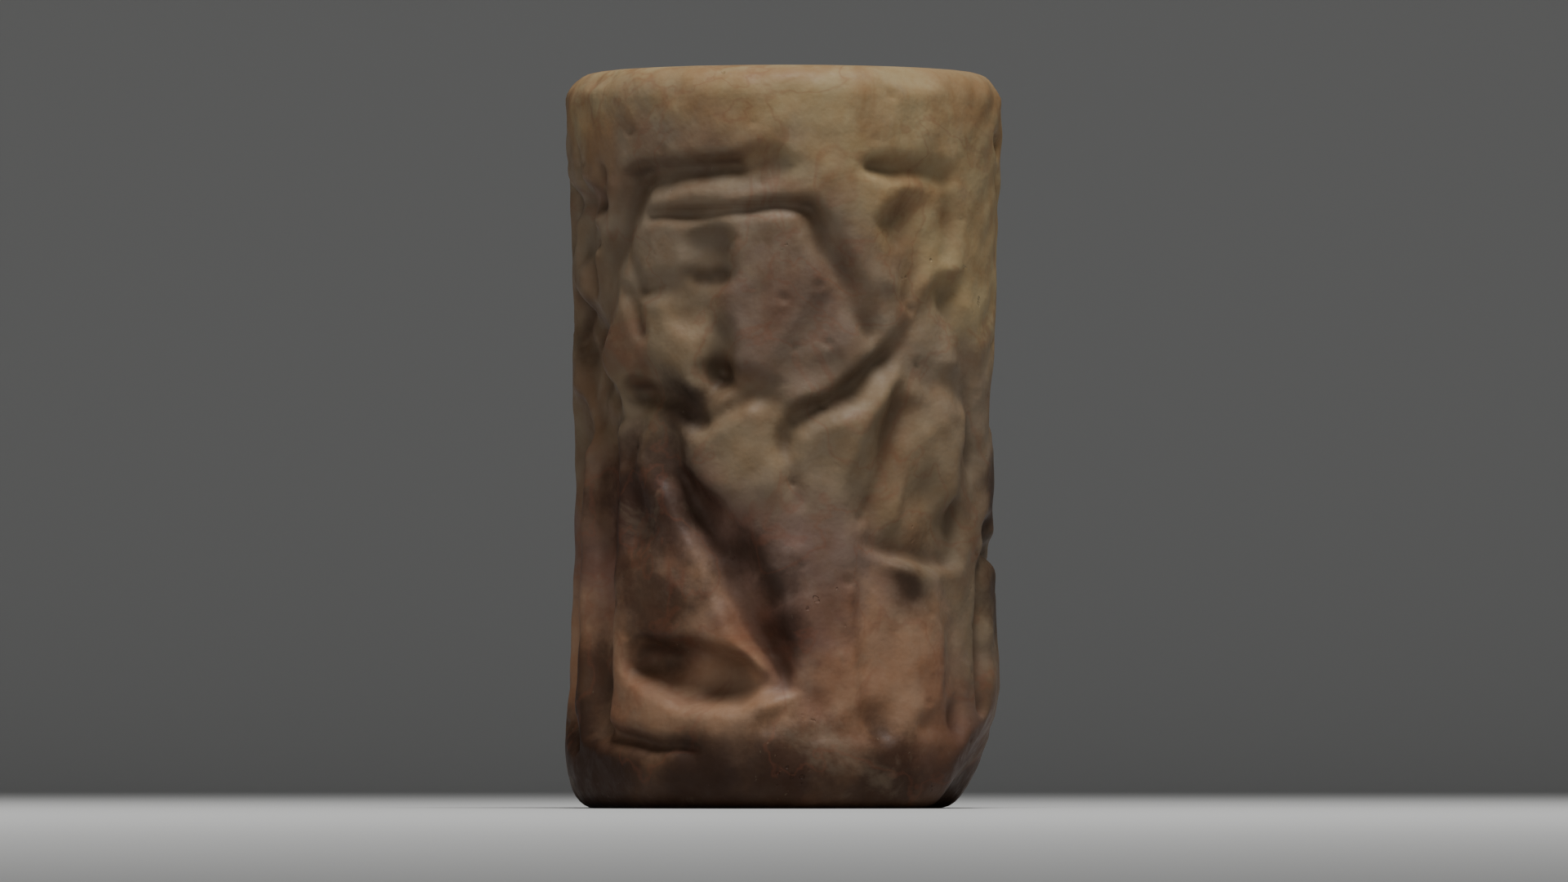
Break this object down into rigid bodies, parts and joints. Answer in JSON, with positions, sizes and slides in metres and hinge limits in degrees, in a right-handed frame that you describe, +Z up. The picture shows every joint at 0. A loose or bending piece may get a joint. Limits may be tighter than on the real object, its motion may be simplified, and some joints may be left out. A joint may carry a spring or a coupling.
{
  "type": "cylinder seal",
  "caption": "Small stone barrel with a lengthwise bore and a sunk frieze of figures round its side, made to be rolled over clay.",
  "frame": {"origin": "centre of the flat base, on the bore's axis", "axes": "+Z up along the bore; -Y out of the side that faces the viewer, with the kneeling figure; +X to the viewer's right"},
  "size_m": [0.0164, 0.0164, 0.0274],
  "materials": {
    "stone": "worn and nearly matt, yellowish brown at the top, mauve in the middle, reddish brown below and darkest along its foot"
  },
  "bodies": {
    "root": {"seal_stone": "stone"}
  },
  "joints": []
}
